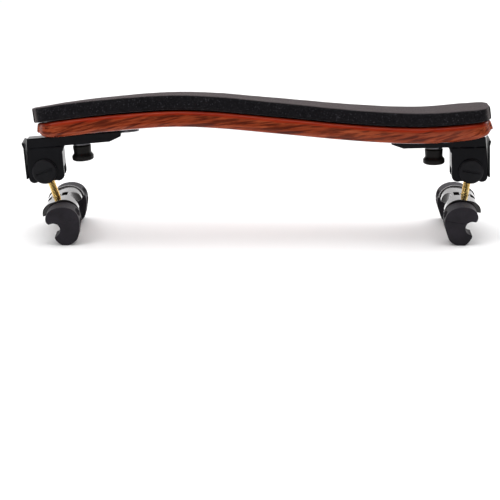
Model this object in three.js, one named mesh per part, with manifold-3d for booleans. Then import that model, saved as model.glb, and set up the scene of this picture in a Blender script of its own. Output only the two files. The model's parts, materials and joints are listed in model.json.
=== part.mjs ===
// Violin shoulder rest: a varnished S-curved wooden bar with a foam pad, carried by two folding,
// height-adjustable legs that end in rubber claws. Millimetres, +Z up, X along the bar, Y from
// front to back. Each side is built once in its own frame, and the right side is its mirror image.
import * as THREE from "three";
import { mergeVertices } from "three/addons/utils/BufferGeometryUtils.js";
import Module from "manifold-3d";

const GAP = 0.3; // clearance between pieces that touch or slide

// Bar and pad
const BAR_LEFT = -102.6;
const BAR_RIGHT = 109.2;
const BAR_HALF_WIDTH = 15;
const BAR_FLARE = 1; // how much wider the bar is near its ends than at its waist, each side
const BAR_THICK = 7.9;
const END_FALL = 32; // how suddenly the bar and pad thin down at their ends
const BAR_BOW = 2.5; // how far the middle of the bar lies behind its ends
const TWIST_LEFT = 8.8; // degrees that the top face leans back at each end
const TWIST_RIGHT = 3;
const PAD_LEFT = -104.4;
const PAD_RIGHT = 108.4;
const PAD_HALF_WIDTH = 14.5;
const PAD_THICK = { left: 7.2, right: 6.2 };
// Height of the bar's middle plane along its length: the S-curve
const BAR_LINE = [
  [-103.4, 48.3], [-90, 50.2], [-68, 52.7], [-42, 54.7], [-20, 54.3], [12, 51.6], [45, 48.8],
  [70, 47.8], [88, 48.6], [110, 51.3],
];

// Sides: the pivot of each leg, how steeply the arm rises inwards, and how far the leg leans
const SIDES = [
  { name: "left", pivotX: -99.3, pivotZ: 30.4, rise: 4.8, lean: 14.6, studX: 17.9, mirror: false },
  { name: "right", pivotX: -99.8, pivotZ: 30.6, rise: -1.5, lean: 10.5, studX: 16.8, mirror: true },
];

// Side frame: origin at the pivot, x inwards along the arm, z up
const SEAT = 15.8; // height of the bar's milled seat above the pivot
const SEAT_TILT = 6; // degrees that the seat leans back
const SEAT_HALF_WIDTH = 7.4;
const PLATE_THICK = 1.2;
const PLATE_BACK = 4.8; // reach of the guide plate on each side of the thumbscrew
const PLATE_REACH = 27.5;
const PLATE_HALF_WIDTH = 5;
const PLATE_SCREWS = { inner: 12.4, outer: 22.4 }; // from the thumbscrew
const PLATE_SCREW_R = 1.1;
const PLATE_SCREW_HEAD_R = 2.1;
const PLATE_SCREW_LENGTH = 4.2;
const BOX_OUT = -7.8;
const BOX_IN = 9;
const BOX_TOP = 16.8; // before the slanting top is cut
const BOX_CLEARANCE = 0.45; // between the bracket's top and the seat
const CAVITY_TOP = 12.6;
const BOX_DEPTH = 13.5;
const WALL = 1.8;
const END_WALL = 1.3;
const CHEEK = 2.2;
const OUTER_LOBE_R = 2.6;
const INNER_LOBE_R = 2.8;
const HUB_R = 5.8;
const ARM_UNDER = 11.4;
const ARM_DEPTH = 12.8;
const ARM_TAPER_X = 31.4;
const ARM_END = 37;
const STUD_R = 1.75;
const SLOT_NEAR = 14.8; // where the stud's middle stands at each end of the arm's slot
const SLOT_FAR = 24.2;
const INSERT_R = 3;
const INSERT_TOP = 18.9;
const KNOB_BOTTOM = 2.7;
const KNOB_TOP = 10;
const WASHER_R = 4.2;
const WASHER_THICK = 0.8;
const BARREL_R = 4.2;
const TRUNNION_R = 2.7;
const CAP_THICK = 1.3;
const FLAP_THICK = 0.9;

// Leg frame: origin at the pivot, z up along the screw, x inwards
const SCREW_R = 1.75;
const SCREW_TOP = 3.8;
const SCREW_END = -18.2;
const FORK_TOP = -13.9;
const FORK_BOSS_END = -19.4;
const FORK_HALF = 15.7;
const RIM_WIDTH = 1.3;
const SLOT_EDGES = { near: 2.6, far: 5.2 }; // of the slot in the fork on each side of the screw
const SLOT_HALF = 3;
const SLOT_DEPTH = 2.3;
const WAIST_X = 6.4; // where the fork's inner side is narrowest, scooped out with radius WAIST_R
const WAIST_R = 12;
const BUSH_R = 2.9;
const CLAW_NEAR = 16;
const CLAW_FAR = 27.4;
const NOTCH_X = -2.8;
const NOTCH_Z = -23.5;
const NOTCH_R = 3.15;
const TANG = { low: 0.8, high: 5.8, bottom: -20, top: -16.3, end: 25 };
const CLAW_FLAT = 0.25; // depth of the flat that each claw stands on

const RAD = Math.PI / 180;
const ROUND = 28; // sides of a round piece
const FINE = 18; // sides of a small round piece

const wasm = await Module();
wasm.setup();

const FINISH = {
  wood: { color: 0x9a4426, roughness: 0.25, metalness: 0 },
  foam: { color: 0x1c1b1d, roughness: 0.95, metalness: 0 },
  satin: { color: 0x15161b, roughness: 0.35, metalness: 0 },
  gloss: { color: 0x1a191c, roughness: 0.12, metalness: 0 },
  rubber: { color: 0x35323a, roughness: 0.85, metalness: 0 },
  brass: { color: 0xd8a93c, roughness: 0.3, metalness: 1 },
  steel: { color: 0xb8b8bc, roughness: 0.35, metalness: 1 },
};

// ---- solids and joins ----

function solid(geometry) {
  const bare = geometry.index ? geometry.toNonIndexed() : geometry.clone();
  bare.deleteAttribute("normal");
  bare.deleteAttribute("uv");
  const merged = mergeVertices(bare, 1e-4);
  const mesh = new wasm.Mesh({
    numProp: 3,
    vertProperties: merged.attributes.position.array,
    triVerts: new Uint32Array(merged.index.array),
  });
  return new wasm.Manifold(mesh);
}

function geometryOf(manifold) {
  const mesh = manifold.getMesh();
  const geometry = new THREE.BufferGeometry();
  geometry.setAttribute("position", new THREE.BufferAttribute(mesh.vertProperties, 3));
  geometry.setIndex(new THREE.BufferAttribute(mesh.triVerts, 1));
  return geometry;
}

function join(geometries) {
  return geometryOf(geometries.map(solid).reduce((a, b) => a.add(b)));
}

function cut(geometry, tools) {
  return geometryOf(tools.map(solid).reduce((a, b) => a.subtract(b), solid(geometry)));
}

function piece(name, geometry, finish) {
  const shown = geometry.index ? geometry.toNonIndexed() : geometry;
  shown.computeVertexNormals();
  const mesh = new THREE.Mesh(shown, new THREE.MeshStandardMaterial(FINISH[finish]));
  mesh.name = name;
  return mesh;
}

// A box given by its low and high corners
function block(low, high) {
  const size = high.map((value, i) => value - low[i]);
  const middle = high.map((value, i) => (value + low[i]) / 2);
  return new THREE.BoxGeometry(...size).translate(...middle);
}

// A shape drawn in x and z, made solid from y = near to y = far, its edges rounded by bevel
function slab(shape, near, far, bevel = 0, bevelSegments = 2) {
  const geometry = new THREE.ExtrudeGeometry(shape, {
    depth: far - near - 2 * bevel,
    bevelEnabled: bevel > 0,
    bevelThickness: bevel,
    bevelSize: bevel,
    bevelOffset: -bevel,
    bevelSegments,
    curveSegments: 10,
  });
  return geometry.rotateX(Math.PI / 2).translate(0, far - bevel, 0);
}

// A turned piece about z from points [radius, height]
function turned(profile, sides = ROUND) {
  const points = profile.map(([r, z]) => new THREE.Vector2(r, z));
  return new THREE.LatheGeometry(points, sides).rotateX(Math.PI / 2);
}

function rod(radius, low, high, sides = FINE) {
  const geometry = new THREE.CylinderGeometry(radius, radius, high - low, sides);
  return geometry.rotateX(Math.PI / 2).translate(0, 0, (low + high) / 2);
}

// The same as rod, but along y
function crossRod(radius, near, far, sides = ROUND) {
  const geometry = new THREE.CylinderGeometry(radius, radius, far - near, sides);
  return geometry.translate(0, (near + far) / 2, 0);
}

function polygon(points) {
  return new THREE.Shape(points.map(([x, z]) => new THREE.Vector2(x, z)));
}

// ---- bar and pad ----

const barCurve = new THREE.SplineCurve(BAR_LINE.map(([x, z]) => new THREE.Vector2(x, z)));
const barSamples = barCurve.getPoints(160);

function barHeight(x) {
  const last = barSamples.length - 2;
  let i = barSamples.findIndex((point) => point.x > x) - 1;
  i = i < 0 ? (x < 0 ? 0 : last) : i;
  const [a, b] = [barSamples[i], barSamples[i + 1]];
  return a.y + ((b.y - a.y) * (x - a.x)) / (b.x - a.x);
}

function barTwist(x) {
  const share = (x - BAR_LEFT) / (BAR_RIGHT - BAR_LEFT);
  return (TWIST_LEFT + (TWIST_RIGHT - TWIST_LEFT) * share) * RAD;
}

// A long closed body that follows the bar's line, twist and bow. Its section is a rounded
// rectangle: squareness 2 is an ellipse, and more is squarer. thick is its thickness at its left
// and right ends, and base is how high its underside lies above the bar's line. Its ends are rounded in plan (more with a lower bluntness) and thin down to endThickness. The
// thinning leaves the top face straight with level 1, and the underside straight with level -1.
function barBody(options) {
  const { left, right, halfWidth, base, squareness, bluntness, level } = options;
  const geometry = new THREE.CylinderGeometry(1, 1, 2, options.sides, options.lengthSteps);
  const position = geometry.attributes.position;
  const p = new THREE.Vector3();
  for (let i = 0; i < position.count; i++) {
    p.fromBufferAttribute(position, i);
    const along = 0.9985 * Math.sin((p.y * Math.PI) / 2);
    const x = (left + right) / 2 + (along * (right - left)) / 2;
    const ends = Math.sqrt(1 - Math.abs(along) ** bluntness);
    const thinning = Math.max(options.endThickness, Math.sqrt(1 - Math.abs(along) ** END_FALL));
    const width = (halfWidth + BAR_FLARE * along * along) * ends;
    const reach = (Math.abs(p.x) ** squareness + Math.abs(p.z) ** squareness) ** (1 / squareness);
    const scale = reach > 0 ? 1 / reach : 0;
    const across = -p.x * scale * width;
    const share = (x - left) / (right - left);
    const thick = options.thick.left + (options.thick.right - options.thick.left) * share;
    const up = base + (thick / 2) * (1 + p.z * scale * thinning + level * (1 - thinning));
    const twist = barTwist(x);
    const y = BAR_BOW * (0.5 - along * along) + across * Math.cos(twist) + up * Math.sin(twist);
    const z = barHeight(x) - across * Math.sin(twist) + up * Math.cos(twist);
    position.setXYZ(i, x, y, z);
  }
  return geometry;
}

// What is taken out of the bar under one side: the milled seat and the blind holes
function barCutters(studX) {
  const end = studX + PLATE_REACH + 1;
  const seat = block([-24, -SEAT_HALF_WIDTH, -10], [end, SEAT_HALF_WIDTH, 0]);
  const holes = Object.values(PLATE_SCREWS).map((x) =>
    rod(PLATE_SCREW_R + GAP, -1, PLATE_SCREW_LENGTH, FINE).translate(studX + x, 0, 0),
  );
  const tilted = [seat, ...holes].map((g) => g.rotateX(-SEAT_TILT * RAD).translate(0, 0, SEAT));
  const pocket = rod(INSERT_R + GAP, SEAT - 2, INSERT_TOP + GAP, FINE).translate(studX, 0, 0);
  return [...tilted, pocket];
}

function makeBar(sides) {
  const body = barBody({
    left: BAR_LEFT,
    right: BAR_RIGHT,
    halfWidth: BAR_HALF_WIDTH,
    thick: { left: BAR_THICK, right: BAR_THICK },
    base: -BAR_THICK / 2,
    squareness: 7,
    lengthSteps: 40,
    sides: 22,
    bluntness: 24,
    endThickness: 0.5,
    level: 1,
  });
  const tools = sides.flatMap((frame, i) => {
    const matrix = frame.children[0].matrixWorld;
    const placed = barCutters(SIDES[i].studX).map((g) => g.applyMatrix4(matrix));
    return matrix.determinant() < 0 ? placed.map(turnedInsideOut) : placed;
  });
  return cut(body, tools);
}

// A mirrored geometry has its faces pointing inwards until each one is turned round
function turnedInsideOut(geometry) {
  const index = geometry.index.array;
  for (let i = 0; i < index.length; i += 3) {
    [index[i + 1], index[i + 2]] = [index[i + 2], index[i + 1]];
  }
  return geometry;
}

function makePad() {
  return barBody({
    left: PAD_LEFT,
    right: PAD_RIGHT,
    halfWidth: PAD_HALF_WIDTH,
    thick: PAD_THICK,
    base: BAR_THICK / 2 + GAP,
    squareness: 9,
    lengthSteps: 32,
    sides: 20,
    bluntness: 40,
    endThickness: 0.95,
    level: -1,
  });
}

// ---- bracket and what it carries, in the side frame ----

function cheekOutline() {
  const shape = new THREE.Shape();
  shape.moveTo(BOX_OUT + 0.9, BOX_TOP);
  shape.lineTo(BOX_OUT, 3);
  shape.absarc(BOX_OUT + OUTER_LOBE_R, -2.8, OUTER_LOBE_R, Math.PI, Math.PI * 1.6, false);
  shape.absarc(0, 0, HUB_R, Math.PI * 1.31, Math.PI * 1.69, false);
  shape.absarc(BOX_IN - INNER_LOBE_R, -2.2, INNER_LOBE_R, Math.PI * 1.38, Math.PI * 2, false);
  shape.lineTo(BOX_IN, BOX_TOP);
  return shape;
}

function makeBracket() {
  const half = BOX_DEPTH / 2;
  const inside = half - CHEEK;
  const box = slab(cheekOutline(), -half, half, 0.5);
  const arm = slab(
    polygon([
      [BOX_IN - 1, 8.6], [BOX_IN + 0.4, 9], [BOX_IN + 1.3, ARM_UNDER], [ARM_TAPER_X, ARM_UNDER],
      [ARM_END, 13.5], [ARM_END, BOX_TOP], [BOX_IN - 1, BOX_TOP],
    ]),
    -ARM_DEPTH / 2,
    ARM_DEPTH / 2,
  );
  const channelHalf = PLATE_HALF_WIDTH + GAP;
  const channel = block([BOX_IN, -channelHalf, -PLATE_THICK - 2 * GAP], [60, channelHalf, 9]);
  channel.rotateX(-SEAT_TILT * RAD).translate(0, 0, SEAT);
  const above = block([BOX_OUT - 9, -9, -BOX_CLEARANCE], [60, 9, 9]);
  above.rotateX(-SEAT_TILT * RAD).translate(0, 0, SEAT);
  const cavity = block([BOX_OUT + END_WALL, -inside, -9], [BOX_IN - WALL, inside, CAVITY_TOP]);
  const innerMouth = block([0, -inside, -9], [BOX_IN + 3, inside, 1]);
  const outerMouth = block([BOX_OUT - 3, -inside, -9], [0, inside, -1.4]);
  const bearing = crossRod(TRUNNION_R + GAP, -9, 9);
  const slotR = STUD_R + GAP;
  const slot = join([
    rod(slotR, 0, 20).translate(SLOT_NEAR, 0, 0),
    block([SLOT_NEAR, -slotR, 0], [SLOT_FAR, slotR, 20]),
    rod(slotR, 0, 20).translate(SLOT_FAR, 0, 0),
  ]);
  return cut(join([box, arm]), [
    above, channel, cavity, innerMouth, outerMouth, bearing, slot,
  ]);
}

// The springy blade on the outer end, its foot hooked in under the end wall
function makeFlap() {
  const face = BOX_OUT - GAP;
  const blade = polygon([
    [face, -1], [face, 12], [face - 0.1, 13.8], [face - 0.9, 14.4], [face - 1.5, 13.8],
    [face - 1.2, 12.8], [face - FLAP_THICK, 11.6], [face - FLAP_THICK, -3.2], [face, -3.2],
  ]);
  const foot = block([face - 0.4, -4.2, -3.2], [BOX_OUT + END_WALL, 4.2, -1.7]);
  return join([slab(blade, -6.2, 6.2), foot]);
}

function makeBarrel() {
  const half = BOX_DEPTH / 2;
  const body = half - CHEEK - GAP;
  const barrel = turned([
    [0, -half], [TRUNNION_R, -half], [TRUNNION_R, -body], [BARREL_R, -body], [BARREL_R, body],
    [TRUNNION_R, body], [TRUNNION_R, half], [0, half],
  ]).rotateX(-Math.PI / 2);
  return barrel;
}

// A button on one end of the barrel, with a shallow slot across it
function makeCap() {
  const cap = turned([
    [0, 0], [HUB_R, 0], [HUB_R, CAP_THICK - 0.5], [HUB_R - 0.6, CAP_THICK], [0, CAP_THICK],
  ]);
  const slot = block([-4, -0.5, CAP_THICK - 0.5], [4, 0.5, CAP_THICK + 1]);
  return cut(cap, [slot]).rotateX(Math.PI / 2);
}

function makePlate() {
  const outline = new THREE.Shape();
  outline.moveTo(-PLATE_BACK, -PLATE_HALF_WIDTH);
  outline.absarc(
    PLATE_REACH - PLATE_HALF_WIDTH, 0, PLATE_HALF_WIDTH, -Math.PI / 2, Math.PI / 2, false,
  );
  outline.lineTo(-PLATE_BACK, PLATE_HALF_WIDTH);
  const blank = new THREE.ExtrudeGeometry(outline, {
    depth: PLATE_THICK,
    bevelEnabled: false,
    curveSegments: 12,
  });
  const holes = Object.values(PLATE_SCREWS).map((x) =>
    turned([
      [0, -0.1], [PLATE_SCREW_HEAD_R + GAP, -0.1], [PLATE_SCREW_HEAD_R + GAP, 0.1],
      [PLATE_SCREW_R + GAP, PLATE_THICK - 0.1], [PLATE_SCREW_R + GAP, 2], [0, 2],
    ], FINE).translate(x, 0, 0),
  );
  const studHole = rod(STUD_R + 0.6, -1, 3);
  return cut(blank, [...holes, studHole]);
}

function makePlateScrew() {
  return turned([
    [0, 0.1], [PLATE_SCREW_HEAD_R, 0.1], [PLATE_SCREW_R, PLATE_THICK - 0.1],
    [PLATE_SCREW_R, PLATE_SCREW_LENGTH - 0.6], [0, PLATE_SCREW_LENGTH],
  ], FINE);
}

function makeInsert() {
  return turned([
    [STUD_R + GAP, SEAT + GAP], [INSERT_R, SEAT + GAP], [INSERT_R, INSERT_TOP],
    [STUD_R + GAP, INSERT_TOP], [STUD_R + GAP, SEAT + GAP],
  ], FINE);
}

function makeKnob() {
  const bore = STUD_R + GAP;
  return turned([
    [0, KNOB_BOTTOM], [4.4, KNOB_BOTTOM], [5.1, KNOB_BOTTOM + 0.6], [5.1, KNOB_BOTTOM + 2.3],
    [4.5, KNOB_BOTTOM + 3], [4.1, KNOB_BOTTOM + 3.6], [4.3, KNOB_TOP - 0.4], [3.9, KNOB_TOP],
    [bore, KNOB_TOP], [bore, KNOB_BOTTOM + 2], [0, KNOB_BOTTOM + 2],
  ]);
}

function makeStud() {
  const low = KNOB_BOTTOM + 2 + GAP;
  return turned([
    [0, low], [STUD_R, low], [STUD_R, INSERT_TOP - 0.8], [STUD_R - 0.5, INSERT_TOP - 0.3],
    [0, INSERT_TOP - 0.3],
  ], FINE);
}

function makeWasher() {
  const top = ARM_UNDER - GAP;
  return turned([
    [STUD_R + GAP, top - WASHER_THICK], [WASHER_R, top - WASHER_THICK], [WASHER_R, top],
    [STUD_R + GAP, top], [STUD_R + GAP, top - WASHER_THICK],
  ]);
}

// ---- leg, in the leg frame ----

function makeLegScrew() {
  return turned([
    [0, SCREW_END], [SCREW_R - 0.5, SCREW_END], [SCREW_R, SCREW_END + 0.5],
    [SCREW_R, SCREW_TOP - 0.5], [SCREW_R - 0.5, SCREW_TOP], [0, SCREW_TOP],
  ], FINE);
}

function makeBush() {
  const bore = SCREW_R + GAP;
  return turned([
    [bore, FORK_BOSS_END], [BUSH_R, FORK_BOSS_END], [BUSH_R, FORK_TOP - 1.9],
    [bore, FORK_TOP - 1.9], [bore, FORK_BOSS_END],
  ], FINE);
}

// The fork's section: an arched shell, grown by "grow" for the rims at its ends
function forkSection(grow) {
  const shape = new THREE.Shape();
  shape.moveTo(-6.4 - grow, -18.2);
  shape.bezierCurveTo(-6.4 - grow, -15.4, -4.4, FORK_TOP + grow, -1.5, FORK_TOP + grow);
  shape.lineTo(2.4, FORK_TOP + grow);
  shape.bezierCurveTo(6.4, FORK_TOP + grow, 9.7 + grow, -16.4, 9.5 + grow, -20.8);
  shape.lineTo(7.4, -20.8);
  shape.bezierCurveTo(7.2, -18.6, 5.4, -17.3, 2.4, -17.3);
  shape.lineTo(-1.5, -17.3);
  shape.bezierCurveTo(-3.2, -17.3, -4.2, -17.5, -4.5, -18.2);
  return shape;
}

function makeFork() {
  const shell = slab(forkSection(0), -FORK_HALF, FORK_HALF);
  const boss = rod(BUSH_R + 1.9, FORK_BOSS_END, FORK_TOP - 1);
  const parts = [shell, boss];
  for (const side of [-1, 1]) {
    const [near, far] = [side * (FORK_HALF - RIM_WIDTH), side * FORK_HALF];
    parts.push(slab(forkSection(0.6), Math.min(near, far), Math.max(near, far)));
    const ends = [side * (FORK_HALF - 1), side * TANG.end];
    parts.push(
      block([TANG.low, Math.min(...ends), TANG.bottom], [TANG.high, Math.max(...ends), TANG.top]),
    );
  }
  const cuts = [
    rod(WAIST_R, -30, 0, 48).translate(WAIST_X + WAIST_R, 0, 0),
    rod(SCREW_R + GAP, -30, 0),
    rod(BUSH_R + GAP, -30, FORK_TOP - 1.6),
  ];
  for (const side of [-1, 1]) {
    const edges = [side * SLOT_EDGES.near, side * SLOT_EDGES.far];
    const [low, high] = [Math.min(...edges), Math.max(...edges)];
    cuts.push(block([low, -SLOT_HALF, FORK_TOP - SLOT_DEPTH], [high, SLOT_HALF, FORK_TOP + 1]));
  }
  return cut(join(parts), cuts);
}

// The claw: a hook that opens outwards, with a round notch for the edge of the instrument
function clawOutline() {
  const shape = new THREE.Shape();
  shape.moveTo(NOTCH_X - 1, NOTCH_Z + NOTCH_R);
  shape.quadraticCurveTo(-4.2, NOTCH_Z + NOTCH_R + 0.1, -4.6, -19.4);
  shape.bezierCurveTo(-5.2, -16.8, -3, -14.2, 0.7, -14.1);
  shape.bezierCurveTo(5.4, -14, 10.3, -16.6, 10.3, -21.4);
  shape.bezierCurveTo(10.3, -24.9, 8.4, -27.4, 7.4, -29.6);
  shape.bezierCurveTo(6.3, -31.8, 4, -32.5, 1.5, -32.5);
  shape.bezierCurveTo(-0.9, -32.5, -2.2, -31, -3, -29);
  shape.quadraticCurveTo(-3.8, -27.4, NOTCH_X - 0.4, NOTCH_Z - NOTCH_R);
  shape.absarc(NOTCH_X, NOTCH_Z, NOTCH_R, Math.PI * 1.5, Math.PI * 0.5, false);
  return shape;
}

function makeClaw(side) {
  const ends = [side * CLAW_NEAR, side * CLAW_FAR];
  const hook = slab(clawOutline(), Math.min(...ends), Math.max(...ends));
  const pocketEnds = [side * (CLAW_NEAR - 2), side * (TANG.end + GAP)];
  const pocket = block(
    [TANG.low - GAP, Math.min(...pocketEnds), TANG.bottom - GAP],
    [TANG.high + GAP, Math.max(...pocketEnds), TANG.top + GAP],
  );
  return cut(hook, [pocket]);
}

// ---- assembly ----

function makeLeg(name) {
  const leg = new THREE.Group();
  leg.add(piece(name + "_leg_screw", makeLegScrew(), "brass"));
  leg.add(piece(name + "_fork", makeFork(), "gloss"));
  leg.add(piece(name + "_fork_bush", makeBush(), "brass"));
  leg.add(piece(name + "_claw_front", makeClaw(-1), "rubber"));
  leg.add(piece(name + "_claw_rear", makeClaw(1), "rubber"));
  return leg;
}

function makeClamp(name, studX) {
  const clamp = new THREE.Group();
  clamp.position.x = studX;
  clamp.add(piece(name + "_threaded_insert", makeInsert(), "brass"));
  clamp.add(piece(name + "_thumbscrew_stud", makeStud(), "brass"));
  clamp.add(piece(name + "_thumbscrew_knob", makeKnob(), "satin"));
  clamp.add(piece(name + "_clamp_washer", makeWasher(), "steel"));
  return clamp;
}

function makeGuide(name, studX) {
  const guide = new THREE.Group();
  guide.position.set(studX, 0, SEAT);
  guide.rotation.x = -SEAT_TILT * RAD;
  const under = -GAP - PLATE_THICK;
  const plate = piece(name + "_guide_plate", makePlate(), "steel");
  plate.position.z = under;
  guide.add(plate);
  for (const [place, x] of Object.entries(PLATE_SCREWS)) {
    const screw = piece(name + "_plate_screw_" + place, makePlateScrew(), "steel");
    screw.position.set(x, 0, under);
    guide.add(screw);
  }
  return guide;
}

function makePivot(name, lean) {
  const pivot = new THREE.Group();
  pivot.name = name + "_pivot";
  pivot.rotation.y = -lean * RAD;
  const through = rod(SCREW_R + GAP, -9, 9);
  pivot.add(piece(name + "_pivot_barrel", cut(makeBarrel(), [through]), "satin"));
  for (const [place, side] of [["front", -1], ["rear", 1]]) {
    const cap = piece(name + "_pivot_cap_" + place, makeCap(), "satin");
    cap.position.y = side * (BOX_DEPTH / 2 + GAP);
    cap.rotation.x = side > 0 ? Math.PI : 0;
    pivot.add(cap);
  }
  return pivot;
}

function makeSide({ name, pivotX, pivotZ, rise, lean, studX, mirror }) {
  const frame = new THREE.Group();
  frame.scale.x = mirror ? -1 : 1;
  const side = new THREE.Group();
  side.name = name + "_side";
  side.position.set(pivotX, 0, pivotZ);
  side.rotation.y = -rise * RAD;
  frame.add(side);
  side.add(piece(name + "_bracket", makeBracket(), "satin"));
  side.add(piece(name + "_end_flap", makeFlap(), "satin"));
  side.add(makeClamp(name, studX), makeGuide(name, studX));
  const pivot = makePivot(name, lean);
  const leg = makeLeg(name);
  pivot.add(leg);
  side.add(pivot);
  standOnGround(frame, leg);
  return frame;
}

// The leg is screwed in or out until its claws stand on the ground, each on a small flat
function standOnGround(frame, leg) {
  frame.updateMatrixWorld(true);
  const lowest = new THREE.Box3().setFromObject(leg, true).min.z;
  const uprightness = new THREE.Vector3(0, 0, 1).transformDirection(leg.matrixWorld).z;
  leg.position.z = -(lowest + CLAW_FLAT) / uprightness;
  frame.updateMatrixWorld(true);
  for (const claw of leg.children.filter((part) => part.name.includes("claw"))) {
    const ground = block([-200, -60, -20], [200, 60, 0]);
    ground.applyMatrix4(claw.matrixWorld.clone().invert());
    const below = claw.matrixWorld.determinant() < 0 ? turnedInsideOut(ground) : ground;
    claw.geometry = cut(claw.geometry, [below]).toNonIndexed();
    claw.geometry.computeVertexNormals();
  }
}

const rest = new THREE.Group();
const sides = SIDES.map(makeSide);
rest.add(piece("wood_bar", makeBar(sides), "wood"));
rest.add(piece("foam_pad", makePad(), "foam"));
rest.add(...sides);

// The origin is under the middle of the whole rest, on the ground
const bounds = new THREE.Box3().setFromObject(rest, true);
const middle = bounds.getCenter(new THREE.Vector3());
rest.position.set(-middle.x, -middle.y, -bounds.min.z);

export default rest;
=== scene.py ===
import json
import math

import bmesh
import bpy
import numpy as np
from mathutils import Matrix, Vector, noise


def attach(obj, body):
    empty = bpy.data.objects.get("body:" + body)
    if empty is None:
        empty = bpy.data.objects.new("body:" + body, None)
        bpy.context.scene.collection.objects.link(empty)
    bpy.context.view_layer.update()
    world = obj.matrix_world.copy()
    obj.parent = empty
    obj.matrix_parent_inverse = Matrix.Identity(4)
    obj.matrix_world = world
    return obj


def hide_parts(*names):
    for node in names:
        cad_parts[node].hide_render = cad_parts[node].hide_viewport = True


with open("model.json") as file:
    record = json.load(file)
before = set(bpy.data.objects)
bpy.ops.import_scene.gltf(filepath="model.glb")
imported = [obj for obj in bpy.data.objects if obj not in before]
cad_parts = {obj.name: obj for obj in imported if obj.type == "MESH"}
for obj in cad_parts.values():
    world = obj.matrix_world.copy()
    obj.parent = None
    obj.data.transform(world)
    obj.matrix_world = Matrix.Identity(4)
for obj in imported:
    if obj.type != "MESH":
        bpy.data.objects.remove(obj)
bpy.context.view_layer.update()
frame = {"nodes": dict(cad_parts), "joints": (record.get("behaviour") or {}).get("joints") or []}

# Lengths are in millimetres while a mesh is being made, and metres once it is a piece.
MM = 0.001
JOINTS = {joint["name"]: joint for joint in frame["joints"]}
SIDES = ("left", "right")

CAMERA_LENS = 157.0  # mm, on a 36 mm sensor
CAMERA_DISTANCE = 1.025  # m
CAMERA_ELEVATION = 12.0  # degrees
CAMERA_AIM = Vector((0.0, 0.0, 0.035))
CAMERA_PITCH = 2.392  # degrees that the camera looks below its aim
CAMERA_YAW = 0.168  # degrees that it looks to the left of it

# The bar and the pad. An end's rounding is how far it reaches out, narrows and thins.
NARROW_TIP = 12.0  # rings narrower than this are a strip's tips, which are made anew
UNSURE_RINGS = 4  # so many rings at each end are too narrow to show the lean
STEADY_RING = 8  # the slope of this ring, counted from an end, is used on to that end
END_RINGS = 5
WOOD_SQUARENESS = 7.0
WOOD_END = (1.3, 3.5, 1.0)
FOAM_SQUARENESS = 14.0
FOAM_END = (0.5, 0.8, 0.4)
FOAM_SWELLS = ((9.0, 0.1), (0.9, 0.05))  # the size and the height of each unevenness

# The milled seat that a guide plate lies in, against the plate's own box.
SEAT_OUTWARD = 40.0  # it runs on past the bar's end
SEAT_INWARD = 1.0
SEAT_MARGIN = 2.4
SEAT_BELOW = 12.0
SEAT_ABOVE = 0.3

# Screws.
THREAD_PITCH = 0.7
THREAD_DEPTH = 0.16
THREAD_CHAMFER = 0.7
THREAD_CREST = 1.35  # above 1 leaves the thread a flat crest
THREAD_SEGMENTS = 48
ROWS_PER_TURN = 8
RECESS_REACH = 1.2
RECESS_HALF = 0.2
RECESS_DEPTH = 0.6

# The groove round a bracket's cheeks, in the arm's frame.
GROOVE_X = (-12.0, 9.6)
GROOVE_Z = (11.2, 11.7)
GROOVE_DEPTH = 0.4

# The fork's dimples, and the claws' pockets and mould lines, in the leg's frame.
DIMPLE_X = 1.6
DIMPLE_FROM_CLAW = 2.6
DIMPLE_DROP = 0.5
DIMPLE_RADII = (0.7, 0.7, 0.6)
POCKET_RADII = (1.9, 3.9, 2.1)
POCKETS = ((0.4, -0.2), (0.68, 0.1))  # share of the claw's height, and shift from its back
MOULD_LINE = 0.57  # share of the claw's height
MOULD_LINE_DEPTH = 0.3
MOULD_LINE_HEIGHT = 0.5

OVERSHOOT = 1.0  # how far a cutter starts outside what it cuts

# The studio, dim in front of the object and bright behind it.
FRONT_STRENGTH = 0.16
BACK_STRENGTH = 0.95
FADE = (-0.2, 0.5)


# ---- measuring the frame ----


def points_of(node):
    """A CAD node's vertices in millimetres."""
    return np.array([vertex.co / MM for vertex in frame["nodes"][node].data.vertices])


def joint_axis(name):
    return Vector(JOINTS[name]["axis"]).normalized()


def joint_place(name):
    return Vector(JOINTS[name]["pos_m"]) / MM


def reach(node, origin, axis):
    """How far a node reaches along axis from origin, low and high."""
    along = (points_of(node) - np.array(origin)) @ np.array(axis)
    return along.min(), along.max()


def standing(origin, up, inward):
    """The matrix of a frame at origin with z along up and x towards inward."""
    x = (inward - inward.dot(up) * up).normalized()
    y = up.cross(x)
    return Matrix.Translation(origin) @ Matrix((x, y, up)).transposed().to_4x4()


def arm_frame(side):
    origin = joint_place(side + "_leg_fold")
    return standing(origin, -joint_axis(side + "_clamp_travel"), -joint_axis(side + "_width_slide"))


def leg_frame(side):
    origin = joint_place(side + "_leg_fold")
    return standing(origin, -joint_axis(side + "_leg_height"), -joint_axis(side + "_width_slide"))


def clamp_frame(side):
    origin = joint_place(side + "_thumbscrew_turn")
    return standing(origin, -joint_axis(side + "_clamp_travel"), -joint_axis(side + "_width_slide"))


def screw_frame(side, place):
    """The frame of one guide plate screw, from its own mesh: at its tip, with z along its shank."""
    points = points_of(side + "_plate_screw_" + place)
    tip = points[np.argmax(points[:, 2])]
    axis = Vector(tip - points.mean(axis=0)).normalized()
    return standing(Vector(tip), axis, -joint_axis(side + "_width_slide"))


# ---- meshes ----


def new_object(name, vertices, faces, matrix=None):
    mesh = bpy.data.meshes.new(name)
    mesh.from_pydata([tuple(v) for v in vertices], [], faces)
    if matrix is not None:
        mesh.transform(matrix)
    turn_outwards(mesh)
    obj = bpy.data.objects.new(name, mesh)
    bpy.context.scene.collection.objects.link(obj)
    return obj


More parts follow.
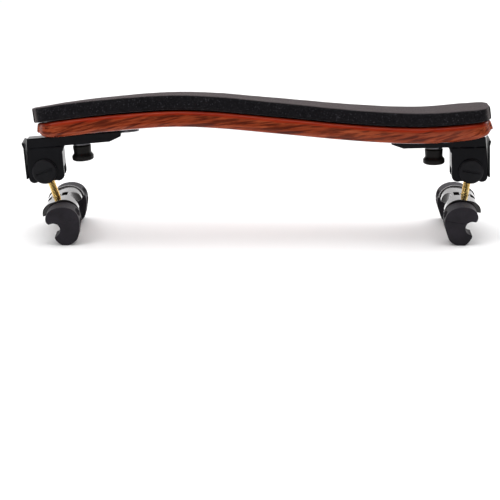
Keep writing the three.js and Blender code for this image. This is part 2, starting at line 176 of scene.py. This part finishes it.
def turn_outwards(mesh):
    editing = bmesh.new()
    editing.from_mesh(mesh)
    bmesh.ops.remove_doubles(editing, verts=editing.verts, dist=1e-5)
    bmesh.ops.recalc_face_normals(editing, faces=editing.faces)
    editing.to_mesh(mesh)
    editing.free()


def copy_of(node, name):
    """A copy of a CAD node's mesh in millimetres, with its split vertices joined again."""
    mesh = frame["nodes"][node].data.copy()
    mesh.name = name
    mesh.transform(Matrix.Scale(1 / MM, 4))
    mesh.materials.clear()
    turn_outwards(mesh)
    obj = bpy.data.objects.new(name, mesh)
    bpy.context.scene.collection.objects.link(obj)
    return obj


def applied(obj):
    """obj with its modifiers made part of its mesh."""
    graph = bpy.context.evaluated_depsgraph_get()
    mesh = bpy.data.meshes.new_from_object(obj.evaluated_get(graph))
    obj.modifiers.clear()
    obj.data = mesh
    return obj


def carve(obj, cutters):
    """Takes the cutters out of obj and removes them."""
    for cutter in cutters:
        modifier = obj.modifiers.new("carve", "BOOLEAN")
        modifier.object = cutter
        modifier.operation = "DIFFERENCE"
        modifier.solver = "EXACT"
    applied(obj)
    for cutter in cutters:
        bpy.data.objects.remove(cutter)
    return obj


def finished(obj, body, slot, material, *nodes, crease=None):
    """Turns a mesh in millimetres into a piece: metres, material and body. The slot argument is not
    used.
    """
    obj.data.transform(Matrix.Scale(MM, 4))
    obj.data.materials.clear()
    obj.data.materials.append(material)
    obj.data.shade_smooth()
    if crease is not None:
        obj.data.set_sharp_from_angle(angle=math.radians(crease))
    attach(obj, body)
    if nodes:
        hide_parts(*nodes)
    return obj


def moulded(obj, voxel, rounds, keep=1.0):
    """Remeshes obj finely and rounds its edges, as a mould would."""
    remesh = obj.modifiers.new("remesh", "REMESH")
    remesh.mode = "VOXEL"
    remesh.voxel_size = voxel
    smooth = obj.modifiers.new("smooth", "SMOOTH")
    smooth.factor = 0.5
    smooth.iterations = rounds
    if keep < 1:
        fewer = obj.modifiers.new("fewer", "DECIMATE")
        fewer.ratio = keep
    return applied(obj)


def grid_faces(rows, columns, closed_rows=False):
    """Quads between rows of points, each row a closed ring of columns."""
    faces = []
    for i in range(rows if closed_rows else rows - 1):
        for j in range(columns):
            a = i * columns + j
            b = i * columns + (j + 1) % columns
            c = ((i + 1) % rows) * columns + (j + 1) % columns
            d = ((i + 1) % rows) * columns + j
            faces.append((a, b, c, d))
    return faces


def box_cutter(low, high, matrix):
    x0, y0, z0 = low
    x1, y1, z1 = high
    corners = [(x, y, z) for x in (x0, x1) for y in (y0, y1) for z in (z0, z1)]
    faces = [(0, 1, 3, 2), (4, 6, 7, 5), (0, 4, 5, 1), (2, 3, 7, 6), (0, 2, 6, 4), (1, 5, 7, 3)]
    return new_object("cutter", corners, faces, matrix)


def oval_cutter(centre, radii, matrix, segments=28, rings=16):
    """An ellipsoid to carve with."""
    points = []
    for i in range(rings + 1):
        tilt = math.pi * i / rings
        for j in range(segments):
            turn = math.tau * j / segments
            unit = (math.sin(tilt) * math.cos(turn), math.sin(tilt) * math.sin(turn), math.cos(tilt))
            points.append([centre[k] + radii[k] * unit[k] for k in range(3)])
    return new_object("cutter", points, grid_faces(rings + 1, segments), matrix)


def spun(name, profile, matrix, closed=False, segments=72):
    """A turned piece from its profile of (radius, height) points, on the axis at both ends or closed."""
    points = []
    for radius, height in profile:
        for j in range(segments):
            turn = math.tau * j / segments
            points.append((radius * math.cos(turn), radius * math.sin(turn), height))
    faces = grid_faces(len(profile), segments, closed)
    return new_object(name, points, faces, matrix)


def softened(profile, radius, closed=False, steps=4):
    """The profile with its corners rounded, except where it stands on the axis."""
    count = len(profile)
    rounded = []
    for i, here in enumerate(profile):
        at_end = not closed and i in (0, count - 1)
        if at_end:
            rounded.append(here)
            continue
        before, after = Vector(profile[i - 1]), Vector(profile[(i + 1) % count])
        corner = Vector(here)
        back, forth = before - corner, after - corner
        cut = min(radius, back.length * 0.42, forth.length * 0.42)
        start, end = corner + back.normalized() * cut, corner + forth.normalized() * cut
        for k in range(steps + 1):
            t = k / steps
            point = start * (1 - t) ** 2 + corner * 2 * t * (1 - t) + end * t * t
            rounded.append((point.x, point.y))
    return rounded


def profile_of(node, matrix):
    """The (radius, height) profile of a turned CAD node, and whether it closes on itself."""
    inverse = matrix.inverted()
    mesh = frame["nodes"][node].data
    local = [inverse @ (vertex.co / MM) for vertex in mesh.vertices]
    widest = max(local, key=lambda p: p.xy.length)
    heading = math.atan2(widest.y, widest.x)

    def key(p):
        turn = math.atan2(p.y, p.x) - heading
        off = abs(math.remainder(turn, math.tau))
        if p.xy.length > 0.02 and off > 0.01:
            return None
        return (round(p.xy.length, 2), round(p.z, 2))

    links = {}
    for edge in mesh.edges:
        a, b = (key(local[v]) for v in edge.vertices)
        if a is None or b is None or a == b:
            continue
        links.setdefault(a, set()).add(b)
        links.setdefault(b, set()).add(a)
    ends = sorted(point for point in links if len(links[point]) == 1)
    start = ends[0] if ends else min(links)
    chain = [start]
    while True:
        onward = [point for point in sorted(links[chain[-1]]) if point not in chain]
        if not onward:
            break
        chain.append(onward[0])
    return chain, not ends


def respun(node, name, matrix, radius=0.25):
    """A turned CAD node made again, finely and with rounded corners."""
    chain, closed = profile_of(node, matrix)
    return spun(name, softened(chain, radius, closed), matrix, closed)


def threaded(name, low, high, radius, matrix):
    """A rod with a real helical thread, chamfered at both ends."""
    segments = THREAD_SEGMENTS
    rows = int((high - low) / THREAD_PITCH * ROWS_PER_TURN)
    points = []
    for i in range(rows + 1):
        height = low + (high - low) * i / rows
        ending = min(height - low, high - height)
        limit = radius - max(0.0, THREAD_CHAMFER - ending) * 0.8
        for j in range(segments):
            share = (height / THREAD_PITCH - j / segments) % 1.0
            crest = min(1.0, abs(2 * share - 1) * THREAD_CREST)
            around = min(limit, radius - THREAD_DEPTH * (1 - crest))
            turn = math.tau * j / segments
            points.append((around * math.cos(turn), around * math.sin(turn), height))
    faces = grid_faces(rows + 1, segments)
    last = rows * segments
    faces.append(tuple(reversed(range(segments))))
    faces.append(tuple(range(last, last + segments)))
    return new_object(name, points, faces, matrix)


# ---- the bar and the pad ----


def rings_of(node):
    """A long strip's rings of vertices, by x."""
    rings = {}
    for x, y, z in np.round(points_of(node), 2):
        rings.setdefault(x, set()).add((y, z))
    return {x: np.array(sorted(ring)) for x, ring in sorted(rings.items()) if len(ring) >= 12}


def lean_line():
    """The lean of the sections, as the straight line through what the pad's rings show."""
    places, leans = [], []
    for x, ring in rings_of("foam_pad").items():
        spread = np.linalg.eigh(np.cov((ring - ring.mean(axis=0)).T))[1][:, 1]
        spread = spread * np.sign(spread[0])
        places.append(x)
        leans.append(math.atan2(spread[1], spread[0]))
    inner = slice(UNSURE_RINGS, -UNSURE_RINGS)
    return np.polyfit(places[inner], leans[inner], 1)


def strip_stations(node):
    """Where a long strip runs, by rings: x, middle y and z, lean, half width and half thickness."""
    line = lean_line()
    found = []
    for x, ring in rings_of(node).items():
        lean = np.polyval(line, x)
        if np.ptp(ring[:, 0]) < NARROW_TIP:
            continue
        across = ring @ np.array([math.cos(lean), math.sin(lean)])
        up = ring @ np.array([-math.sin(lean), math.cos(lean)])
        middle, height = (across.min() + across.max()) / 2, (up.min() + up.max()) / 2
        found.append([
            x,
            middle * math.cos(lean) - height * math.sin(lean),
            middle * math.sin(lean) + height * math.cos(lean),
            lean,
            (across.max() - across.min()) / 2,
            (up.max() - up.min()) / 2,
        ])
    return np.array(found)


def smooth_between(stations, steps):
    """More stations between the ones given, on smooth curves."""
    along = stations[:, 0]
    slopes = np.gradient(stations, along, axis=0)
    out = []
    for i in range(len(stations) - 1):
        span = along[i + 1] - along[i]
        for k in range(steps):
            t = k / steps
            out.append(
                (2 * t**3 - 3 * t**2 + 1) * stations[i] + (t**3 - 2 * t**2 + t) * span * slopes[i]
                + (3 * t**2 - 2 * t**3) * stations[i + 1] + (t**3 - t**2) * span * slopes[i + 1]
            )
    out.append(stations[-1])
    return np.array(out)


def lofted(name, stations, squareness, end_round, columns=96):
    """A closed strip through the stations, its section a rounded rectangle square to its line.

    end_round is how far the rounded ends reach out, and how much they narrow and thin the strip.
    """
    out_by, narrow_by, thin_by = end_round
    slopes = np.gradient(stations[:, 2], stations[:, 0])
    slopes[:STEADY_RING] = slopes[STEADY_RING]
    slopes[-STEADY_RING:] = slopes[-STEADY_RING - 1]
    rows = np.column_stack([stations, slopes])
    caps = {-1: [], 1: []}
    for outward, end in ((-1, rows[0]), (1, rows[-1])):
        for k in range(1, END_RINGS + 1):
            turn = math.pi / 2 * k / END_RINGS
            ring = end.copy()
            ring[0] += outward * out_by * math.sin(turn)
            ring[4] -= narrow_by * (1 - math.cos(turn))
            ring[5] -= thin_by * (1 - math.cos(turn))
            caps[outward].append(ring)
    rows = np.vstack([caps[-1][::-1], rows, caps[1]])
    points = []
    for x, y, z, lean, width, thick, slope in rows:
        for j in range(columns):
            turn = math.tau * j / columns
            c, s = math.cos(turn), math.sin(turn)
            size = (abs(c) ** squareness + abs(s) ** squareness) ** (-1 / squareness)
            across, up = c * size * width, s * size * thick
            points.append((
                x - slope * up,
                y + across * math.cos(lean) - up * math.sin(lean),
                z + across * math.sin(lean) + up * math.cos(lean),
            ))
    faces = grid_faces(len(rows), columns)
    last = (len(rows) - 1) * columns
    faces.append(tuple(reversed(range(columns))))
    faces.append(tuple(range(last, last + columns)))
    return new_object(name, points, faces)


def mark_strip(obj, stations):
    """Gives each vertex its place in the strip, along, across and up, for the wood's grain and its
    painted shade band.
    """
    count = len(obj.data.vertices)
    co = np.zeros(count * 3)
    obj.data.vertices.foreach_get("co", co)
    co = co.reshape(-1, 3)
    y, z, lean = (np.interp(co[:, 0], stations[:, 0], stations[:, k]) for k in (1, 2, 3))
    across = (co[:, 1] - y) * np.cos(lean) + (co[:, 2] - z) * np.sin(lean)
    up = (co[:, 2] - z) * np.cos(lean) - (co[:, 1] - y) * np.sin(lean)
    places = np.stack([co[:, 0], across, up], axis=1).astype(np.float32)
    attribute = obj.data.attributes.new("strip", "FLOAT_VECTOR", "POINT")
    attribute.data.foreach_set("vector", places.ravel())


def seat_cutter(side):
    """The milled seat that the guide plate lies in."""
    node = side + "_guide_plate"
    mesh = frame["nodes"][node].data
    largest = max(mesh.polygons, key=lambda face: face.area * (face.normal.z > 0.5))
    origin = Vector(largest.center) / MM
    matrix = standing(origin, largest.normal.copy(), -joint_axis(side + "_width_slide"))
    inverse = matrix.inverted()
    local = np.array([inverse @ Vector(point) for point in points_of(node)])
    low, high = local.min(axis=0), local.max(axis=0)
    return box_cutter(
        (low[0] - SEAT_OUTWARD, low[1] - SEAT_MARGIN, low[2] - SEAT_BELOW),
        (high[0] + SEAT_INWARD, high[1] + SEAT_MARGIN, high[2] + SEAT_ABOVE),
        matrix,
    )


def make_wood_bar(material):
    stations = smooth_between(strip_stations("wood_bar"), 6)
    bar = lofted("varnished_bar", stations, WOOD_SQUARENESS, WOOD_END)
    carve(bar, [seat_cutter(side) for side in SIDES])
    mark_strip(bar, stations)
    return finished(bar, "bar", "varnished_wood", material, "wood_bar", crease=50)


def make_foam_pad(material):
    stations = smooth_between(strip_stations("foam_pad"), 8)
    pad = lofted("foam_layer", stations, FOAM_SQUARENESS, FOAM_END, columns=160)
    for vertex in pad.data.vertices:
        swell = sum(noise.noise(vertex.co / size) * height for size, height in FOAM_SWELLS)
        vertex.co = vertex.co + vertex.normal * swell
    finished(pad, "bar", "foam", material, "foam_pad")
    return pad


# ---- materials ----


class Look:
    """A Principled material with short calls for the nodes that it needs."""

    def __init__(self, name, **constants):
        self.material = bpy.data.materials.new(name)
        self.material.use_nodes = True
        self.tree = self.material.node_tree
        self.shader = self.tree.nodes["Principled BSDF"]
        self.set(self.shader, constants)

    def set(self, target, values):
        for key, value in values.items():
            socket = target.inputs[key.replace("_", " ") if isinstance(key, str) else key]
            if isinstance(value, bpy.types.NodeSocket):
                self.tree.links.new(value, socket)
            else:
                socket.default_value = value

    def add(self, kind, settings=None, **values):
        made = self.tree.nodes.new("ShaderNode" + kind)
        for key, value in (settings or {}).items():
            setattr(made, key, value)
        self.set(made, values)
        return made

    def place(self, scale=(1, 1, 1), tilt=0.0, attribute=None):
        """Coordinates, the object's own or a stored attribute, turned about y and then scaled."""
        if attribute:
            source = self.add("Attribute", {"attribute_name": attribute}).outputs["Vector"]
        else:
            source = self.add("TexCoord").outputs["Object"]
        turned = self.add("Mapping", Vector=source, Rotation=(0, tilt, 0)).outputs["Vector"]
        return self.add("Mapping", Vector=turned, Scale=scale).outputs["Vector"]

    def noise(self, vector, scale, detail=3.0, roughness=0.55):
        made = self.add("TexNoise", Vector=vector, Scale=scale, Detail=detail, Roughness=roughness)
        return made.outputs["Fac"]

    def ramp(self, factor, stops):
        made = self.add("ValToRGB", Fac=factor)
        elements = made.color_ramp.elements
        while len(elements) < len(stops):
            elements.new(0.5)
        for element, (position, color) in zip(elements, stops):
            element.position = position
            element.color = (*color, 1)
        return made.outputs["Color"]

    def spread(self, value, low, high, new_low, new_high):
        made = self.add("MapRange")
        self.set(made, dict(enumerate((value, low, high, new_low, new_high))))
        return made.outputs["Result"]

    def mix(self, factor, a, b, blend="MIX"):
        made = self.add("Mix", {"data_type": "RGBA", "blend_type": blend})
        self.set(made, {0: factor, 6: a, 7: b})
        return made.outputs[2]

    def bump(self, height, strength, distance):
        made = self.add("Bump", Height=height, Strength=strength, Distance=distance)
        return made.outputs["Normal"]

    def grazing(self, low, high, most):
        """How glossy a face is seen edge on: nothing up to low, most from high."""
        facing = self.add("LayerWeight", Blend=0.5).outputs["Facing"]
        return self.spread(facing, low, high, 0.0, most)

    def done(self, **links):
        self.set(self.shader, links)
        return self.material


def wood_look():
    look = Look("varnished_maple", Coat_Weight=1.0, Coat_Roughness=0.06, Coat_IOR=1.24,
                Specular_IOR_Level=0.03)
    fibres = look.noise(look.place((0.02, 0.5, 1.4), 0.04, attribute="strip"), 2.2, 6.0, 0.6)
    figure = look.noise(look.place((0.05, 0.06, 0.16), 0.1, attribute="strip"), 1.0, 2.0)
    streaks = look.noise(look.place((0.05, 0.3, 0.62), 0.2, attribute="strip"), 1.3, 4.0, 0.6)
    base = look.ramp(fibres, [
        (0.3, (0.2, 0.026, 0.007)), (0.5, (0.33, 0.055, 0.017)), (0.72, (0.47, 0.11, 0.042)),
    ])
    curl = look.ramp(figure, [(0.36, (0.62, 0.5, 0.46)), (0.6, (1.0, 1.0, 1.0))])
    dark = look.ramp(streaks, [(0.42, (0.16, 0.1, 0.09)), (0.53, (1.0, 1.0, 1.0))])
    color = look.mix(0.75, base, curl, "MULTIPLY")
    color = look.mix(0.75, color, dark, "MULTIPLY")
    # Painted shade: the upper part of the bar's section, from about 1.6 to 2.1 mm above its middle and
    # wavering with the streaks, is mixed towards a deep dark red.
    height = look.add("SeparateXYZ", Vector=look.place(attribute="strip")).outputs["Z"]
    wavy = look.add("Math", {"operation": "ADD"})
    look.set(wavy, {0: height, 1: look.spread(streaks, 0.3, 0.7, -0.5, 0.5)})
    painted_shade_band = look.spread(wavy.outputs[0], 1.6, 2.1, 0.0, 1.0)
    color = look.mix(painted_shade_band, color, look.mix(0.7, color, (0.3, 0.014, 0.002, 1)))
    roughness = look.spread(fibres, 0.3, 0.7, 0.34, 0.5)
    normal = look.bump(fibres, 0.1, 0.0001)
    return look.done(Base_Color=color, Roughness=roughness, Normal=normal)


def foam_look():
    look = Look("black_foam", Specular_IOR_Level=0.08, Sheen_Weight=0.25, Sheen_Roughness=0.35,
                Sheen_Tint=(1.0, 0.86, 0.84, 1))
    place = look.place()
    cells = look.add("TexVoronoi", {"feature": "F1"}, Vector=place, Scale=1500.0).outputs["Distance"]
    cloud = look.noise(place, 420.0, 5.0, 0.7)
    specks = look.noise(place, 1350.0, 2.0, 0.6)
    patches = look.noise(place, 60.0, 2.0)
    color = look.ramp(cloud, [(0.3, (0.0035, 0.0034, 0.0045)), (0.7, (0.0105, 0.0098, 0.0115))])
    color = look.mix(look.spread(specks, 0.58, 0.72, 0.0, 0.8), color, (0.052, 0.05, 0.058, 1))
    shade = look.ramp(patches, [(0.3, (0.7, 0.7, 0.75)), (0.7, (1.0, 1.0, 1.0))])
    color = look.mix(0.5, color, shade, "MULTIPLY")
    # Painted sheen: faces that look upwards get a lighter brownish grey added, as the lit top of the
    # pad.
    upward = look.add("SeparateXYZ", Vector=look.add("NewGeometry").outputs["Normal"]).outputs["Z"]
    painted_top_sheen = look.mix(1.0, color, (0.02, 0.015, 0.0155, 1), "ADD")
    color = look.mix(look.spread(upward, 0.75, 0.95, 0.0, 1.0), color, painted_top_sheen)
    rough = look.spread(cells, 0.0, 0.8, 0.98, 0.8)
    inner = look.bump(cells, 0.5, 0.0003)
    outer = look.add("Bump", Height=cloud, Strength=0.5, Distance=0.0005, Normal=inner)
    return look.done(Base_Color=color, Roughness=rough, Normal=outer.outputs["Normal"])


def satin_look(name, dark, light):
    look = Look(name, Specular_IOR_Level=0.09, Coat_Roughness=0.22)
    place = look.place()
    grain = look.noise(place, 3200.0, 2.0)
    smear = look.noise(place, 90.0, 4.0)
    color = look.ramp(smear, [(0.3, dark), (0.7, light)])
    rough = look.spread(smear, 0.3, 0.7, 0.28, 0.4)
    coat = look.grazing(0.62, 0.85, 0.35)
    normal = look.bump(grain, 0.2, 0.00008)
    return look.done(Base_Color=color, Roughness=rough, Coat_Weight=coat, Normal=normal)


def gloss_look():
    look = Look("gloss_black_plastic", Specular_IOR_Level=0.4, Coat_Roughness=0.06)
    place = look.place()
    waves = look.noise(place, 160.0, 2.0)
    smear = look.noise(place, 45.0, 3.0)
    color = look.ramp(smear, [(0.3, (0.0065, 0.0055, 0.006)), (0.7, (0.014, 0.0115, 0.0115))])
    rough = look.spread(smear, 0.3, 0.7, 0.1, 0.2)
    coat = look.grazing(0.5, 0.8, 1.0)
    normal = look.bump(waves, 0.2, 0.0004)
    return look.done(Base_Color=color, Roughness=rough, Coat_Weight=coat, Normal=normal)


def rubber_look():
    look = Look("black_rubber", Specular_IOR_Level=0.15, Sheen_Weight=0.06, Sheen_Roughness=0.4)
    place = look.place()
    speck = look.noise(place, 1500.0, 3.0, 0.7)
    bloom = look.noise(place, 110.0, 3.0)
    color = look.ramp(bloom, [(0.3, (0.011, 0.0095, 0.0125)), (0.7, (0.024, 0.021, 0.027))])
    rough = look.spread(speck, 0.3, 0.7, 0.5, 0.7)
    return look.done(Base_Color=color, Roughness=rough, Normal=look.bump(speck, 0.3, 0.00012))


def metal_look(name, dark, light, low, high, scale):
    look = Look(name, Metallic=1.0)
    place = look.place()
    stain = look.noise(place, scale, 4.0)
    fine = look.noise(look.place((1, 1, 14)), 420.0, 3.0)
    color = look.ramp(stain, [(0.3, dark), (0.7, light)])
    rough = look.spread(fine, 0.3, 0.7, low, high)
    return look.done(Base_Color=color, Roughness=rough, Normal=look.bump(fine, 0.06, 0.00006))


def floor_look():
    look = Look("pale_floor", Specular_IOR_Level=0.1)
    cloud = look.noise(look.place(), 3.0, 2.0)
    color = look.ramp(cloud, [(0.0, (0.86, 0.86, 0.865)), (1.0, (0.9, 0.9, 0.9))])
    return look.done(Base_Color=color, Roughness=0.9)


# ---- brackets ----


def make_bracket(side, material):
    node = side + "_bracket"
    arm = arm_frame(side)
    low, high = reach(node, arm.translation, Vector((0, 1, 0)))
    cheeks = ((low - OVERSHOOT, low + GROOVE_DEPTH), (high - GROOVE_DEPTH, high + OVERSHOOT))
    grooves = [
        box_cutter((GROOVE_X[0], y0, GROOVE_Z[0]), (GROOVE_X[1], y1, GROOVE_Z[1]), arm)
        for y0, y1 in cheeks
    ]
    shell = carve(copy_of(node, side + "_bracket_shell"), grooves)
    moulded(shell, 0.2, 3, keep=0.45)
    return finished(shell, side + "_arm", "black_plastic", material, node)


def make_small_mouldings(side, looks):
    for node, body, look, voxel in (
        ("end_flap", "flap", "satin", 0.15),
        ("pivot_cap_front", "pivot", "cap", 0.12),
        ("pivot_cap_rear", "pivot", "cap", 0.12),
        ("pivot_barrel", "pivot", "satin", 0.16),
    ):
        name = side + "_" + node
        piece = moulded(copy_of(name, name + "_moulded"), voxel, 2, keep=0.6)
        finished(piece, side + "_" + body, "black_plastic", looks[look], name)


def make_guide(side, looks):
    node = side + "_guide_plate"
    plate = moulded(copy_of(node, side + "_guide_tongue"), 0.16, 2, keep=0.5)
    finished(plate, "bar", "steel", looks["steel"], node)
    for place in ("inner", "outer"):
        screw = make_plate_screw(side, place)
        finished(screw, "bar", "steel", looks["steel"], side + "_plate_screw_" + place, crease=40)


def make_plate_screw(side, place):
    """A countersunk screw with a cross recess in its head."""
    matrix = screw_frame(side, place)
    node = side + "_plate_screw_" + place
    low, _ = reach(node, matrix.translation, matrix.col[2].xyz)
    screw = respun(node, node + "_turned", matrix, 0.12)
    cross = [
        box_cutter((-x, -y, low - OVERSHOOT), (x, y, low + RECESS_DEPTH), matrix)
        for x, y in ((RECESS_REACH, RECESS_HALF), (RECESS_HALF, RECESS_REACH))
    ]
    return carve(screw, cross)


def make_clamp(side, looks):
    matrix = clamp_frame(side)
    knob_node = side + "_thumbscrew_knob"
    knob = respun(knob_node, side + "_knob_turned", matrix, 0.45)
    finished(knob, side + "_thumbscrew", "black_plastic", looks["knob"], knob_node)
    stud_node = side + "_thumbscrew_stud"
    low, high = reach(stud_node, matrix.translation, matrix.col[2].xyz)
    radius = reach(stud_node, matrix.translation, Vector((0, 1, 0)))[1]
    stud = threaded(side + "_stud_threaded", low, high, radius, matrix)
    finished(stud, side + "_thumbscrew", "brass", looks["brass"], stud_node, crease=45)
    washer_node = side + "_clamp_washer"
    washer = respun(washer_node, side + "_washer_turned", matrix, 0.2)
    finished(washer, side + "_clamp", "steel", looks["steel"], washer_node, crease=40)
    insert_node = side + "_threaded_insert"
    insert = respun(insert_node, side + "_insert_turned", matrix, 0.2)
    finished(insert, "bar", "brass", looks["brass"], insert_node, crease=40)


# ---- legs ----


def make_leg(side, looks):
    matrix = leg_frame(side)
    node = side + "_leg_screw"
    low, high = reach(node, matrix.translation, matrix.col[2].xyz)
    radius = reach(node, matrix.translation, Vector((0, 1, 0)))[1]
    screw = threaded(side + "_leg_threaded", low, high, radius, matrix)
    finished(screw, side + "_leg", "brass", looks["brass"], node, crease=45)
    node = side + "_fork_bush"
    bush = respun(node, side + "_bush_turned", matrix, 0.2)
    finished(bush, side + "_foot", "brass", looks["brass"], node, crease=40)
    make_fork(side, matrix, looks["gloss"])
    for place in ("front", "rear"):
        make_claw(side, place, matrix, looks["rubber"])


def make_fork(side, matrix, material):
    """The fork with a dimple near each end of its top."""
    node = side + "_fork"
    _, top = reach(node, matrix.translation, matrix.col[2].xyz)
    half = reach(side + "_claw_rear", matrix.translation, Vector((0, 1, 0)))[0]
    dimples = [
        oval_cutter((DIMPLE_X, y * (half - DIMPLE_FROM_CLAW), top - DIMPLE_DROP), DIMPLE_RADII, matrix)
        for y in (-1, 1)
    ]
    fork = carve(copy_of(node, side + "_fork_shell"), dimples)
    moulded(fork, 0.2, 4, keep=0.5)
    return finished(fork, side + "_foot", "glossy_plastic", material, node)


def make_claw(side, place, matrix, material):
    """A rubber claw with two pockets in its back and a mould line on each flat side."""
    node = side + "_claw_" + place
    low, high = reach(node, matrix.translation, matrix.col[2].xyz)
    _, back = reach(node, matrix.translation, matrix.col[0].xyz)
    near, far = reach(node, matrix.translation, matrix.col[1].xyz)
    middle = (near + far) / 2
    height = high - low
    pockets = [
        oval_cutter((back + shift, middle, low + share * height), POCKET_RADII, matrix)
        for share, shift in POCKETS
    ]
    line = low + MOULD_LINE * height
    lines = [
        box_cutter(
            (-OVERSHOOT, y - MOULD_LINE_DEPTH, line),
            (back + OVERSHOOT, y + MOULD_LINE_DEPTH, line + MOULD_LINE_HEIGHT), matrix,
        )
        for y in (near, far)
    ]
    claw = carve(copy_of(node, side + "_claw_" + place + "_rubber"), pockets + lines)
    moulded(claw, 0.2, 5, keep=0.5)
    return finished(claw, side + "_foot", "black_rubber", material, node)


# ---- stage ----


def make_camera():
    elevation = math.radians(CAMERA_ELEVATION)
    data = bpy.data.cameras.new("camera")
    data.lens = CAMERA_LENS
    data.sensor_width = 36
    data.clip_start = 0.05
    data.clip_end = 50
    camera = bpy.data.objects.new("camera", data)
    back = Vector((0, -math.cos(elevation), math.sin(elevation)))
    camera.location = CAMERA_AIM + back * CAMERA_DISTANCE
    tilt = math.radians(90 - CAMERA_ELEVATION - CAMERA_PITCH)
    camera.rotation_euler = (tilt, 0, math.radians(CAMERA_YAW))
    bpy.context.scene.collection.objects.link(camera)
    bpy.context.scene.camera = camera


def make_light(name, place, aim, size, power):
    data = bpy.data.lights.new(name, "AREA")
    data.shape = "RECTANGLE"
    data.size, data.size_y = size
    data.energy = power
    lamp = bpy.data.objects.new(name, data)
    lamp.location = place
    lamp.rotation_euler = (Vector(aim) - Vector(place)).to_track_quat("-Z", "Y").to_euler()
    bpy.context.scene.collection.objects.link(lamp)


def make_world():
    """A plain studio that fades from front to back, so that gloss shows its shape."""
    world = bpy.data.worlds.new("studio")
    world.use_nodes = True
    tree = world.node_tree
    shade = tree.nodes["Background"]
    place = tree.nodes.new("ShaderNodeTexCoord")
    split = tree.nodes.new("ShaderNodeSeparateXYZ")
    ramp = tree.nodes.new("ShaderNodeMapRange")
    tree.links.new(place.outputs["Generated"], split.inputs[0])
    tree.links.new(split.outputs["Y"], ramp.inputs[0])
    for index, value in enumerate((*FADE, FRONT_STRENGTH, BACK_STRENGTH), start=1):
        ramp.inputs[index].default_value = value
    tree.links.new(ramp.outputs[0], shade.inputs["Strength"])
    shade.inputs["Color"].default_value = (1, 0.985, 0.99, 1)
    bpy.context.scene.world = world


def make_stage():
    bpy.context.scene.view_settings.view_transform = "Standard"
    make_world()
    floor = new_object("floor", [(-6, -6, 0), (6, -6, 0), (6, 6, 0), (-6, 6, 0)], [(0, 1, 2, 3)])
    floor.data.materials.append(floor_look())
    make_light("overhead", (0, 0.1, 1.1), (0, 0, 0), (1.7, 1.3), 17)
    make_light("key", (-0.7, -0.6, 0.75), (0, 0, 0.03), (0.5, 0.35), 3.0)
    make_light("rim", (0.9, 0.7, 0.5), (0, 0, 0.03), (0.5, 0.5), 3.0)


# ---- everything ----

make_camera()
make_stage()
LOOKS = {
    "satin": satin_look("satin_black_plastic", (0.0022, 0.0024, 0.0036), (0.0048, 0.005, 0.0068)),
    # Painted highlight: the pivot caps get a lighter copy of the satin plastic, standing in for the
    # light on their rims.
    "cap": satin_look("cap_plastic_painted_highlight", (0.005, 0.0052, 0.0066), (0.013, 0.013, 0.015)),
    "knob": satin_look("brown_black_plastic", (0.007, 0.0064, 0.0062), (0.013, 0.0122, 0.0118)),
    "gloss": gloss_look(),
    "rubber": rubber_look(),
    "brass": metal_look("brass", (0.84, 0.54, 0.15), (0.95, 0.7, 0.28), 0.16, 0.28, 240.0),
    "steel": metal_look("blackened_steel", (0.07, 0.07, 0.075), (0.13, 0.13, 0.14), 0.2, 0.34, 160.0),
}
make_wood_bar(wood_look())
make_foam_pad(foam_look())
for side in SIDES:
    make_bracket(side, LOOKS["satin"])
    make_small_mouldings(side, LOOKS)
    make_guide(side, LOOKS)
    make_clamp(side, LOOKS)
    make_leg(side, LOOKS)
